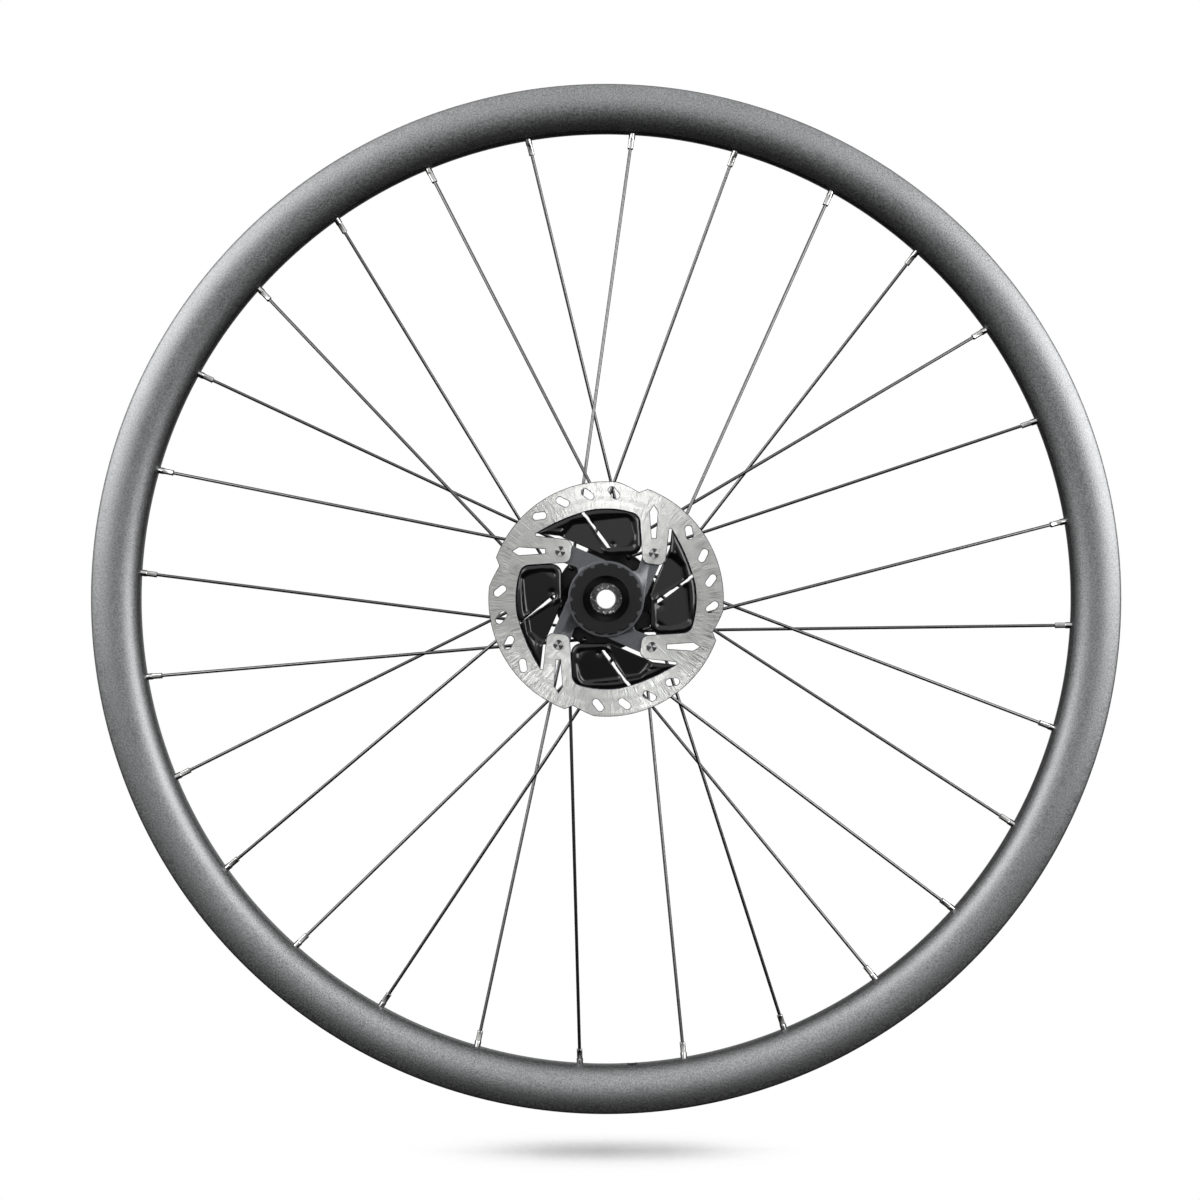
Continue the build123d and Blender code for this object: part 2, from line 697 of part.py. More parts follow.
with BuildPart() as lockring:
    with BuildSketch(Plane.XY):
        with BuildLine():
            Polyline(
                (sleeve_bore_radius, -lockring_front),
                (lockring_radius - lockring_chamfer, -lockring_front),
                (lockring_radius, -lockring_front + lockring_chamfer),
                (lockring_radius, -washer_front),
                (sleeve_radius, -washer_front),
                (sleeve_radius, -washer_front + lockring_sleeve_length),
                (sleeve_bore_radius, -washer_front + lockring_sleeve_length),
                close=True,
            )
        make_face()
    revolve(axis=Axis.Y)
    with BuildSketch(Plane.XZ.offset(washer_front)):
        with PolarLocations(lockring_radius, lockring_notches):
            Circle(lockring_notch_radius)
    extrude(amount=lockring_thickness, mode=Mode.SUBTRACT)
lockring.part.label = "lockring"
export_step(lockring.part, "parts/lockring.step")
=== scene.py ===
from math import acos, cos, pi, radians, sin, tan

import bmesh
import bpy
import numpy as np
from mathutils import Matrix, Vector
from mathutils.geometry import delaunay_2d_cdt


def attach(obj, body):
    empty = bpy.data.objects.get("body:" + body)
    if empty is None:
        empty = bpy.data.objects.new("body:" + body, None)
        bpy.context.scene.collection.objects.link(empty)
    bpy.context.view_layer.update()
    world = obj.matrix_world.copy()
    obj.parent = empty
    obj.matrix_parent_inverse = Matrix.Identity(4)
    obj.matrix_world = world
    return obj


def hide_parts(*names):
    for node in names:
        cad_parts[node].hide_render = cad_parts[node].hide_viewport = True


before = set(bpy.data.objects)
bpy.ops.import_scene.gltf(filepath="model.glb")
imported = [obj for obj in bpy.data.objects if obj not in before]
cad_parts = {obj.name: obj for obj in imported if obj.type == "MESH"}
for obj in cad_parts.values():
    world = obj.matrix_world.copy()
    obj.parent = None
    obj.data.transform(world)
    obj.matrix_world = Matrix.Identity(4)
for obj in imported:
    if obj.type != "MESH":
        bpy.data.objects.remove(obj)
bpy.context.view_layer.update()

mm = 0.001

# Camera: on the wheel's axis, a little under a metre in front of the disc side. A small shift, in
# pixels of the photograph, puts the axle where the photograph has it.
photo_side = 1200
axle_right, axle_up = 6.1, 1.0
camera_distance = 0.990
camera_lens = 47.9
camera_sensor = 36
camera = bpy.data.objects.new("camera", bpy.data.cameras.new("camera"))
camera.location = (0, -camera_distance, 0)
camera.rotation_euler = (pi / 2, 0, 0)
camera.data.sensor_width = camera_sensor
camera.data.lens = camera_lens
camera.data.shift_x = -axle_right / photo_side
camera.data.shift_y = -axle_up / photo_side
camera.data.clip_start = 10 * mm
bpy.context.scene.collection.objects.link(camera)
bpy.context.scene.camera = camera
bpy.context.scene.view_settings.view_transform = "Standard"


# Finishes are made from nodes. Arithmetic on the value of one node adds Math nodes, and every
# other node comes from one method that takes its type, its settings and its sockets.
class Value:
    """The output of a node. Sums, differences, products and powers of it are new Math nodes."""

    def __init__(self, finish, socket):
        self.finish, self.socket = finish, socket

    def math(self, operation, *others, clamp=False):
        sockets = {slot: other for slot, other in enumerate((self, *others))}
        settings = {"operation": operation, "use_clamp": clamp}
        return self.finish.node("ShaderNodeMath", settings, sockets)

    def __add__(self, other): return self.math("ADD", other)
    def __sub__(self, other): return self.math("SUBTRACT", other)
    def __mul__(self, other): return self.math("MULTIPLY", other)
    def __pow__(self, other): return self.math("POWER", other)
    def __radd__(self, other): return self.math("ADD", other)
    def __rmul__(self, other): return self.math("MULTIPLY", other)
    def __rsub__(self, other): return (self * -1) + other

    def sine(self): return self.math("SINE")
    def cut(self): return self.math("ADD", 0, clamp=True)

    def ramp(self, low, high, at_low=0.0, at_high=1.0):
        """A smooth step from at_low, where this is low, to at_high, where it is high."""
        settings = {"interpolation_type": "SMOOTHSTEP"}
        sockets = {0: self, 1: low, 2: high, 3: at_low, 4: at_high}
        return self.finish.node("ShaderNodeMapRange", settings, sockets)


class Finish:
    """A material, or the world's light, under construction."""

    def __init__(self, owner, made_of="ShaderNodeBsdfPrincipled"):
        owner.use_nodes = True
        self.owner, self.tree = owner, owner.node_tree
        self.tree.nodes.clear()
        end = "World" if isinstance(owner, bpy.types.World) else "Material"
        self.end = self.tree.nodes.new("ShaderNodeOutput" + end)
        if made_of:
            self.shader = self.tree.nodes.new(made_of)
            self.tree.links.new(self.shader.outputs[0], self.end.inputs[0])

    def fill(self, node, sockets):
        for slot, value in sockets.items():
            if isinstance(value, Value):
                self.tree.links.new(value.socket, node.inputs[slot])
            elif isinstance(value, tuple) and node.inputs[slot].type == "RGBA":
                node.inputs[slot].default_value = (*value, 1)
            else:
                node.inputs[slot].default_value = value

    def node(self, kind, settings=None, sockets=None, output=0):
        made = self.tree.nodes.new(kind)
        for name, value in (settings or {}).items():
            setattr(made, name, value)
        self.fill(made, sockets or {})
        return Value(self, made.outputs[output])

    def place(self):
        """Where the surface is, in metres in the wheel's frame."""
        return self.node("ShaderNodeTexCoord", output="Object")

    def axes(self):
        """The place's three numbers."""
        apart = self.tree.nodes.new("ShaderNodeSeparateXYZ")
        self.tree.links.new(self.place().socket, apart.inputs[0])
        return [Value(self, socket) for socket in apart.outputs]

    def noise(self, scale, detail=2.0, roughness=0.5, where=None):
        """Noise with features about 1 / scale metres across."""
        sockets = {"Vector": where or self.place(), "Scale": scale}
        sockets |= {"Detail": detail, "Roughness": roughness}
        return self.node("ShaderNodeTexNoise", {}, sockets)

    def blend(self, factor, first, second):
        """A colour between first, at 0, and second, at 1."""
        sockets = {0: factor, 6: first, 7: second}
        return self.node("ShaderNodeMix", {"data_type": "RGBA"}, sockets, 2)

    def eased(self, radius):
        """The surface's normal, turned near an edge as if the edge were rounded to this radius."""
        return self.node("ShaderNodeBevel", {"samples": 8}, {"Radius": radius})

    def marked(self, name):
        """The number that an attribute of the mesh gives here."""
        return self.node("ShaderNodeAttribute", {"attribute_name": name}, {}, "Fac")

    def relief(self, height, distance, strength=1.0, radius=0.0002):
        """A bump of this height, where 1 stands distance metres proud, over edges of this
        radius."""
        sockets = {"Height": height, "Distance": distance, "Strength": strength}
        sockets["Normal"] = self.eased(radius)
        return self.node("ShaderNodeBump", {}, sockets)

    def done(self, **sockets):
        self.fill(self.shader, {name.replace("_", " "): value for name, value in sockets.items()})
        return self.owner


def new_finish(name):
    return Finish(bpy.data.materials.new(name))


# Studio: a white surround, which the wheel reflects darker from below and from behind, and three
# large soft lamps: left and right in front, and a weak one behind. The wheel hangs just over a
# white floor, as the photograph's shadow shows.
upward_fade = 0.42
backward_fade = 0.5
white_behind = 0.14
matt_share = 0.25
world = bpy.data.worlds.new("studio")
bpy.context.scene.world = world
air = Finish(world, None)
rays = air.tree.nodes.new("ShaderNodeLightPath")
seen = Value(air, rays.outputs["Is Camera Ray"])
mirrored = Value(air, rays.outputs["Is Glossy Ray"])
through = Value(air, rays.outputs["Is Transmission Ray"])
heading = air.tree.nodes.new("ShaderNodeSeparateXYZ")
air.tree.links.new(air.node("ShaderNodeTexCoord", output="Generated").socket, heading.inputs[0])
depth_of_ray, height_of_ray = (Value(air, heading.outputs[number]) for number in (1, 2))
from_above = height_of_ray.ramp(-upward_fade, upward_fade)
reflected = from_above * depth_of_ray.ramp(-backward_fade, backward_fade, 1.0, white_behind)
glow = (seen + through).cut()
glow = glow + (1 - glow) * reflected * (mirrored * (1 - matt_share) + matt_share)
backdrop = air.node("ShaderNodeBackground", {}, {"Color": (1.0, 1.0, 1.0), "Strength": glow})
air.tree.links.new(backdrop.socket, air.end.inputs[0])

lamp_distance = 1.6
lamp_side = 0.9
lamps = (
    ("lamp_left", (-0.64, -0.68, 0.36), 9),
    ("lamp_right", (0.70, -0.68, 0.22), 12),
    ("lamp_behind", (0.15, 0.97, 0.20), 3.5),
)
for name, towards, energy in lamps:
    lamp = bpy.data.objects.new(name, bpy.data.lights.new(name, "AREA"))
    lamp.data.size = lamp_side
    lamp.data.energy = energy
    lamp.location = Vector(towards) * lamp_distance
    lamp.rotation_euler = Vector(towards).to_track_quat("Z", "Y").to_euler()
    bpy.context.scene.collection.objects.link(lamp)

floor_height = -0.342
floor_half = 1.2
shadow_reach = 0.065
darkest_openness, white_openness = 0.60, 0.80
darkest_shadow = 0.34
floor_mesh = bpy.data.meshes.new("floor")
signs = ((-1, -1), (1, -1), (1, 1), (-1, 1))
corners = [(x * floor_half, y * floor_half, floor_height) for x, y in signs]
floor_mesh.from_pydata(corners, [], [(0, 1, 2, 3)])
floor = bpy.data.objects.new("floor", floor_mesh)
bpy.context.scene.collection.objects.link(floor)
paper = Finish(bpy.data.materials.new("white_sweep"), "ShaderNodeEmission")
# Painted shadow: the floor's white glow is dimmed where the wheel is near, from ambient occlusion,
# and is not cast by the lamps.
openness = paper.node("ShaderNodeAmbientOcclusion", {"samples": 24}, {"Distance": shadow_reach}, 1)
brightness = openness.ramp(darkest_openness, white_openness, darkest_shadow, 1.0)
direct = paper.node("ShaderNodeLightPath")
clear = paper.node("ShaderNodeBsdfTransparent")
cover = paper.node("ShaderNodeMixShader", {}, {0: direct, 1: clear})
paper.tree.links.new(paper.shader.outputs[0], cover.socket.node.inputs[2])
paper.tree.links.new(cover.socket, paper.end.inputs[0])
floor_mesh.materials.append(paper.done(Color=(1.0, 1.0, 1.0), Strength=brightness))


# Rim: a rolled and welded aluminium hoop with a rounded hollow section, sandblasted and anodised
# dark grey. The tyre's side is a hooked channel, drilled for the tool that turns the nipples.
rim_outer = 316.0 * mm
rim_widest = 306.5 * mm
rim_bed = 288.3 * mm
rim_half = 12.5 * mm
rim_edge_taper = 1.2 * mm
rim_edge_drop = 0.6 * mm
lip_half = 10.7 * mm
channel_half = 9.7 * mm
hook_at, hook_end_at = 314.4 * mm, 313.9 * mm
seat_at, seat_half = 311.0 * mm, 10.2 * mm
shelf_half = 7.0 * mm
well_at, well_half = 306.0 * mm, 4.5 * mm
well_wall = 1.4 * mm
bed_wall = 2.6 * mm
bed_half_band = 4.6 * mm
channel_rounding = 0.35 * mm
tool_hole_radius, tool_window = 4.25 * mm, 5.2 * mm
valve_hole_radius, valve_window = 3.25 * mm, 4.4 * mm
valve_angle = 273.2
spoke_count = 28
rim_pitch = 360 / spoke_count
turn_steps = 360
side_steps = 10
merge_distance = 1e-7
sliver_width = 1e-8


class Shape:
    """A mesh put together from grids of points, each an array of rows by columns by x, y, z."""

    def __init__(self):
        self.points, self.faces, self.count = [], [], 0

    def sheet(self, grid, around=False):
        """Adds a grid. With around, its last column is joined to its first."""
        rows, columns = grid.shape[:2]
        number = self.count + np.arange(rows * columns).reshape(rows, columns)
        right = np.roll(number, -1, axis=1)
        if not around:
            number, right = number[:, :-1], right[:, :-1]
        cells = np.stack([number[:-1], right[:-1], right[1:], number[1:]], -1)
        self.faces.append(cells.reshape(-1, 4))
        self.points.append(grid.reshape(-1, 3))
        self.count += rows * columns
        return self

    def piece(self, name, crease=radians(32)):
        """The mesh as an object: doubles merged, faces turned outwards, edges over crease sharp."""
        mesh = bpy.data.meshes.new(name)
        mesh.from_pydata(np.concatenate(self.points), [], np.concatenate(self.faces).tolist())
        whole = bmesh.new()
        whole.from_mesh(mesh)
        bmesh.ops.remove_doubles(whole, verts=whole.verts, dist=merge_distance)
        bmesh.ops.dissolve_degenerate(whole, edges=whole.edges, dist=sliver_width)
        bmesh.ops.recalc_face_normals(whole, faces=whole.faces)
        whole.to_mesh(mesh)
        whole.free()
        mesh.shade_smooth()
        mesh.set_sharp_from_angle(angle=crease)
        thing = bpy.data.objects.new(name, mesh)
        bpy.context.scene.collection.objects.link(thing)
        return thing


def rounded_side(start, end, points):
    """The side in section from the bed to the widest place, as (radius, y): a quarter ellipse whose
    angle runs from start to end, so radius is the widest less the depth times its cosine, and y is
    the half width times its sine."""
    angle = np.radians(np.linspace(start, end, points))
    radius = rim_widest - (rim_widest - rim_bed) * np.cos(angle)
    return np.stack([radius, rim_half * np.sin(angle)], -1)


def turned(profile, steps=turn_steps):
    """A surface turned about the axle: each (radius, y) of the profile at every angle."""
    angle = np.linspace(0, 2 * pi, steps, endpoint=False)
    profile = np.asarray(profile)
    radius, y = profile[:, 0, None], profile[:, 1, None]
    return np.stack([radius * np.cos(angle), y + 0 * angle, radius * np.sin(angle)], -1)


def rounded(corners, radius, steps=5, side_share=0.45, nearly_straight=radians(86)):
    """A profile whose inner corners are replaced by arcs of this radius, shortened to take no more
    than a share of either side. A corner whose half angle is nearly a right angle stays."""
    corners = np.asarray(corners, float)
    made = [corners[:1]]
    for before, corner, after in zip(corners, corners[1:], corners[2:]):
        into, out = before - corner, after - corner
        room = min(np.hypot(*into), np.hypot(*out)) * side_share
        into, out = into / np.hypot(*into), out / np.hypot(*out)
        half = acos(np.clip(into @ out, -1, 1)) / 2
        if half > nearly_straight:
            made.append(corner[None])
            continue
        reach = min(radius / tan(half), room)
        centre = corner + (into + out) / np.hypot(*(into + out)) * reach / cos(half)
        first, last = corner + into * reach - centre, corner + out * reach - centre
        share = np.linspace(0, 1, steps)[:, None]
        spoke = first * (1 - share) + last * share
        length = np.hypot(*first)
        made.append(centre + spoke / np.hypot(spoke[:, 0], spoke[:, 1])[:, None] * length)
    made.append(corners[-1:])
    return np.concatenate(made)


hole_points = 32
window_rows = 6
band_rows = 5


def drilled_band(shape, place, turn, half_width, holes, hole_radius, reach, depth_place):
    """A band round the axle with round holes in it. place(along, across) gives its points, turn is
    the length of a full turn, and holes are lengths along it. Round each hole the points go from
    the circle to a square window; between windows the band is a plain grid. Each hole gets a wall
    from place to depth_place."""
    holes = np.sort(np.mod(holes, turn))
    angle = np.linspace(0, 2 * pi, hole_points + 1)[:-1] + pi / hole_points
    circle = np.stack([np.cos(angle), np.sin(angle)], -1)
    square = circle / np.abs(circle).max(1, keepdims=True) * (reach, half_width)
    share = np.linspace(0, 1, window_rows)[:, None, None]
    for hole, after in zip(holes, np.roll(holes, -1)):
        flat = circle * hole_radius * (1 - share) + square * share
        shape.sheet(place(hole + flat[..., 0], flat[..., 1]), around=True)
        edge = circle * hole_radius
        wall = [place(hole + edge[:, 0], edge[:, 1]), depth_place(hole + edge[:, 0], edge[:, 1])]
        shape.sheet(np.stack(wall), around=True)
        space = np.mod(after - hole, turn) or turn
        columns = max(3, int(space / turn * turn_steps))
        along = np.linspace(hole + reach, hole + space - reach, columns)
        across = np.linspace(-half_width, half_width, band_rows)
        shape.sheet(place(*np.meshgrid(along, across, indexing="ij")))


def on_ring(radius_at):
    """Points of a band that runs round the axle: radius_at(across) is the radius at y = across."""
    def place(along, across):
        radius = radius_at(across)
        return np.stack([radius * np.cos(along), across, radius * np.sin(along)], -1)
    return place


def on_bed(drop):
    """The spoke bed, or the inside of its wall where drop is the wall's thickness."""
    depth = rim_widest - rim_bed
    return lambda across: rim_widest + drop - depth * np.sqrt(1 - (across / rim_half) ** 2)


band_edge = np.degrees(np.arcsin(bed_half_band / rim_half))
sweep = np.linspace(0, 1, side_steps)[1:, None]
side = np.concatenate([
    rim_widest + sweep * (rim_outer - rim_edge_drop - rim_widest),
    rim_half - rim_edge_taper * sweep ** 2,
], 1)
tyre_side = rounded([
    side[-1], (rim_outer, lip_half), (rim_outer, channel_half), (hook_at, channel_half),
    (hook_end_at, seat_half), (seat_at, seat_half), (seat_at, shelf_half), (well_at, well_half),
], channel_rounding)
half_section = np.concatenate([rounded_side(band_edge, 90, points=22), side, tyre_side[1:]])
rim_shape = Shape()
for direction in (1, -1):
    rim_shape.sheet(turned(half_section * (1, direction)), around=True)
tool_holes = np.radians(valve_angle + rim_pitch * (np.arange(spoke_count) + 0.5))


def ring_band(shape, radius_at, inside_at, half_width, holes, hole_radius, window):
    """A drilled band whose length along is an angle: the holes' widths are divided by the
    radius."""
    outer, inner = on_ring(radius_at), on_ring(inside_at)
    middle = float(radius_at(0.0))
    drilled_band(
        shape,
        lambda along, across: outer(along / middle, across),
        2 * pi * middle, half_width, holes * middle, hole_radius, window,
        lambda along, across: inner(along / middle, across),
    )


valve_place = np.radians([valve_angle])
ring_band(
    rim_shape, lambda across: well_at + 0 * across, lambda across: well_at - well_wall + 0 * across,
    well_half, np.append(tool_holes, valve_place), tool_hole_radius, tool_window,
)
ring_band(
    rim_shape, on_bed(0.0), on_bed(bed_wall),
    bed_half_band, valve_place, valve_hole_radius, valve_window,
)
rim = rim_shape.piece("rim_hoop")

blasted = new_finish("blasted_grey_anodising")
grain = blasted.noise(1050, 3, 0.7).ramp(0.3, 0.7)
cloud = blasted.noise(60, 2, 0.5)
tone = (grain * 0.8 + cloud * 0.2).cut()
rim.data.materials.append(blasted.done(
    Base_Color=blasted.blend(tone, (0.17, 0.172, 0.176), (0.40, 0.405, 0.41)),
    Metallic=0.95,
    Specular_Tint=(0.4, 0.4, 0.4),
    Roughness=0.42 + (grain - 0.5) * 0.12,
    Normal=blasted.relief(grain, 0.00005, 0.5),
))
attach(rim, "wheel")
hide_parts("rim")


# Spokes: black stainless wire with a forged head, a cold bend behind it and a straight run to the
# rim. Each threads through its flange hole, crosses two others and screws into its nipple.
wire_radius = 1.0 * mm
head_radius = 1.9 * mm
head_height = 1.0 * mm
bend_reach = 1.6 * mm
spoke_crossings = 2
flange_thickness = 3.0 * mm
bend_stand_off = 1.9 * mm
head_step = 0.35 * mm
closed_radius = 1e-6
hole_circles = {"left": 28.2 * mm, "right": 25.2 * mm}
flange_places = {"left": -21.0 * mm, "right": 33.0 * mm}

spoke_index = np.arange(spoke_count)
is_left = spoke_index % 2 == 1
leans_back = spoke_index % 4 < 2
rim_angle = np.radians(valve_angle + rim_pitch * (spoke_index + 0.5))
turn_to_hub = np.radians(spoke_crossings * 2 * rim_pitch) * np.where(leans_back, 1, -1)
hub_angle = rim_angle + turn_to_hub
circle = np.where(is_left, hole_circles["left"], hole_circles["right"])
flange_y = np.where(is_left, flange_places["left"], flange_places["right"])
head_side = np.where(is_left, -1, 1) * np.where(leans_back, 1, -1)
hole = np.stack([circle * np.cos(hub_angle), flange_y, circle * np.sin(hub_angle)], -1)
lift = np.stack([0 * circle, head_side, 0 * circle], -1)
spoke_head = hole + lift * flange_thickness / 2
spoke_bend = hole - lift * (flange_thickness / 2 + bend_stand_off)
spoke_bed = rim_bed * np.stack([np.cos(rim_angle), 0 * rim_angle, np.sin(rim_angle)], -1)


def unit(vector):
    return vector / np.linalg.norm(vector, axis=-1, keepdims=True)


spoke_stub = unit(spoke_bend - spoke_head)
spoke_run = unit(spoke_bed - spoke_bend)
spoke_end_at = 4.2 * mm


def spoke_surface(index, around=16, dome_points=6, arc_points=10, run_points=12):
    """A round wire carried along its path: straight out of the head, an arc in the plane of the
    stub and the run, and straight to the rim. The radius grows to the domed head at the start."""
    stub, run = spoke_stub[index], spoke_run[index]
    side = unit(run - stub * (run @ stub))
    across = np.cross(stub, side)
    turn = acos(np.clip(stub @ run, -1, 1))
    arc_radius = bend_reach / tan(turn / 2)
    start = spoke_bend[index] - stub * bend_reach
    angle = np.linspace(0, turn, arc_points)[:, None]
    arc = start + arc_radius * (np.sin(angle) * stub + (1 - np.cos(angle)) * side)
    dome = np.linspace(0, pi / 2, dome_points)
    head_back = -head_height * np.cos(dome)
    head_width = head_radius * np.sin(dome)
    stub_at = np.concatenate([head_back, [0.0, head_step]])
    stub_width = np.concatenate([np.maximum(head_width, closed_radius), [head_radius, wire_radius]])
    stub_line = spoke_head[index] + stub * stub_at[:, None]
    run_end = np.linalg.norm(spoke_bed[index] - spoke_bend[index]) + spoke_end_at
    run_at = np.append(np.linspace(bend_reach, run_end, run_points)[1:], run_end)
    run_line = spoke_bend[index] + run * run_at[:, None]
    line = np.concatenate([stub_line, arc, run_line])
    wire_width = np.full(len(arc) + len(run_at) - 1, wire_radius)
    width = np.concatenate([stub_width, wire_width, [closed_radius]])
    heading = np.concatenate([
        np.repeat(stub[None], len(stub_line), 0),
        np.cos(angle) * stub + np.sin(angle) * side,
        np.repeat(run[None], len(run_line), 0),
    ])
    level = np.cross(across, heading)
    round_angle = np.linspace(0, 2 * pi, around, endpoint=False)[None, :, None]
    ring = np.cos(round_angle) * level[:, None] + np.sin(round_angle) * across
    return line[:, None] + ring * width[:, None, None]


spoke_finish = new_finish("black_spoke")
streak = spoke_finish.noise(900, 2, 0.5)
spoke_black = spoke_finish.done(
    Base_Color=spoke_finish.blend(streak, (0.10, 0.10, 0.102), (0.24, 0.24, 0.242)),
    Metallic=1.0,
    Roughness=0.20 + streak * 0.10,
    Normal=spoke_finish.relief(streak, 0.00002, 0.4),
)
for index in range(spoke_count):
    wire = Shape().sheet(spoke_surface(index), around=True).piece(f"spoke_wire_{index + 1:02d}")
    wire.data.materials.append(spoke_black)
    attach(wire, "wheel")
    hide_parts(f"spoke_{index + 1:02d}")


# Nipples: turned from brass bar and nickel-plated, with four flats milled for the spoke key. The
# head sits inside the rim, and the body leans with its spoke. The profile lists, from the end that
# shows to the head, the place along the spoke, the radius, and how far the body is milled.
nipple_radius = 2.0 * mm
nipple_flat = 1.7 * mm
nipple_profile = (
    (-9.4, 1.02, 0), (-9.4, 1.55, 0), (-9.25, 1.80, 0.3), (-9.0, 1.95, 0.8),
    (-8.6, 2.0, 1), (-3.4, 2.0, 1), (-3.1, 2.0, 0.5), (-2.9, 2.0, 0),
    (2.75, 2.0, 0), (3.0, 2.25, 0), (5.15, 3.05, 0), (5.15, 1.02, 0),
)


def nipple_surface(index, around=32):
    """A body carried along the spoke. Its radius at an angle is the round one, or the flat's over
    the larger of the angle's cosine and sine where the body is milled."""
    run = spoke_run[index]
    first = unit(np.cross(run, (0.0, 1.0, 0.0)))
    second = np.cross(run, first)
    angle = np.linspace(0, 2 * pi, around, endpoint=False)
    at, width, milled = np.array(nipple_profile).T * ((mm,), (mm,), (1,))
    width, milled = width[:, None], milled[:, None]
    reach = np.maximum(np.abs(np.cos(angle)), np.abs(np.sin(angle)))
    flat = np.minimum(nipple_radius, nipple_flat / reach)
    radius = width * (1 - milled) + np.minimum(width, flat) * milled
    ring = np.cos(angle)[:, None] * first + np.sin(angle)[:, None] * second
    line = spoke_bed[index] + run * at[:, None]
    return line[:, None] + ring * radius[..., None]


nipple_shape = Shape()
for index in range(spoke_count):
    nipple_shape.sheet(nipple_surface(index), around=True)
nipples = nipple_shape.piece("nipple_set")
nickel = new_finish("nickel_plate")
smear = nickel.noise(700, 3, 0.6)
nipples.data.materials.append(nickel.done(
    Base_Color=nickel.blend(smear, (0.34, 0.34, 0.335), (0.80, 0.80, 0.79)),
    Metallic=1.0,
    Roughness=0.12 + smear * 0.14,
))
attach(nipples, "wheel")
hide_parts("spoke_nipples")


# Hub shell: turned from aluminium bar and anodised black, with two drilled flanges, a slim waist,
# a bearing seat in each end, and the spline and thread for the rotor on its left end.
weld_distance = 1e-6
flat_within = radians(0.5)
faces_axle = 0.99
cad_crease = radians(28)
lathe_lines = 9000


def joined(node, name, body, material, band=0.0):
    """A copy of a CAD node's mesh with its loose triangles joined and its flat faces made whole,
    shaded smooth between its sharp edges. With a band, its front and back faces get a strip of this
    width along their edges, which an attribute marks, so that a finish can paint the edge dark as
    shade."""
    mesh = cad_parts[node].data.copy()
    mesh.name = name
    mesh.materials.clear()
    mesh.materials.append(material)
    whole = bmesh.new()
    whole.from_mesh(mesh)
    bmesh.ops.remove_doubles(whole, verts=whole.verts, dist=weld_distance)
    bmesh.ops.dissolve_limit(whole, angle_limit=flat_within, verts=whole.verts, edges=whole.edges)
    if band:
        marked = whole.faces.layers.float.new("painted_dark_edge")
        for side in (-1, 1):
            flat_faces = [face for face in whole.faces if face.normal.y * side > faces_axle]
            strip = bmesh.ops.inset_region(
                whole, faces=flat_faces, thickness=band, use_boundary=True, use_even_offset=True,
            )
            for face in strip["faces"]:
                face[marked] = 1.0
    whole.to_mesh(mesh)
    whole.free()
    mesh.shade_smooth()
    mesh.set_sharp_from_angle(angle=cad_crease)
    thing = bpy.data.objects.new(name, mesh)
    bpy.context.scene.collection.objects.link(thing)
    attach(thing, body)
    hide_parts(node)
    return thing


anodised = new_finish("black_anodising")
_, y, _ = anodised.axes()
turning = (y * lathe_lines).sine() * 0.2 + 0.2 + anodised.noise(500, 2) * 0.6
hub_black = anodised.done(
    Base_Color=anodised.blend(turning, (0.010, 0.010, 0.011), (0.030, 0.030, 0.032)),
    Metallic=0.3,
    Roughness=0.30 + turning * 0.12,
    Normal=anodised.relief(turning, 0.00002, 0.3),
)
joined("hub_shell", "hub_body", "wheel", hub_black)


# Axle tube and end caps: plain aluminium tube, and dark caps whose outer faces are knurled with
# fine radial teeth that grip the fork. Their glints are painted highlight: bright specks on the
# teeth.
knurl_teeth = 60
satin = new_finish("satin_aluminium")
fleck = satin.noise(800, 3)
axle_alloy = satin.done(
    Base_Color=satin.blend(fleck, (0.25, 0.25, 0.26), (0.40, 0.40, 0.41)),
    Metallic=0.9,
    Roughness=0.30 + fleck * 0.2,
)
joined("axle_tube", "axle_sleeve", "axle", axle_alloy)

knurled = new_finish("knurled_dark_alloy")
x, _, z = knurled.axes()
around = knurled.node("ShaderNodeMath", {"operation": "ARCTAN2"}, {0: z, 1: x})
teeth = (around * knurl_teeth).sine() * 0.35 + 0.15 + knurled.noise(1400, 3, 0.7) * 0.9
# Painted highlight: spots where the teeth's colour is painted bright, standing for glints.
painted_glint_spots = knurled.noise(600, 2, 0.6).ramp(0.54, 0.68)
teeth_with_painted_glints = teeth.ramp(0.3, 0.9) * (painted_glint_spots * 0.85 + 0.15)
cap_grey = knurled.done(
    Base_Color=knurled.blend(teeth_with_painted_glints, (0.010, 0.010, 0.011), (0.70, 0.70, 0.71)),
    Metallic=0.9,
    Roughness=0.28,
    Normal=knurled.relief(teeth, 0.00015, 0.9),
)
joined("end_cap_left", "fork_cap_left", "axle", cap_grey)
joined("end_cap_right", "fork_cap_right", "axle", cap_grey)


# Bearings and seals: ground steel races with a row of balls between them, closed by rubber rings
# that are pressed into the hub.
ball_radius = 1.4 * mm
ball_circle = 10.75 * mm
ball_count = 15
ball_rows = {"left": -30.0 * mm, "right": 35.0 * mm}
grinding_lines = 30000
ground = new_finish("ground_steel")
x, _, z = ground.axes()
rings = ((x * x + z * z) ** 0.5 * grinding_lines).sine() * 0.5 + 0.5
bearing_steel = ground.done(
    Base_Color=ground.blend(rings, (0.45, 0.45, 0.46), (0.62, 0.62, 0.63)),
    Metallic=1.0,
    Roughness=0.22 + rings * 0.1,
)
rubber = new_finish("seal_rubber")
dust = rubber.noise(400, 3)
seal_rubber = rubber.done(
    Base_Color=rubber.blend(dust, (0.010, 0.010, 0.010), (0.024, 0.024, 0.024)),
    Roughness=0.6 + dust * 0.2,
    Normal=rubber.relief(dust, 0.00004, 0.5),
)


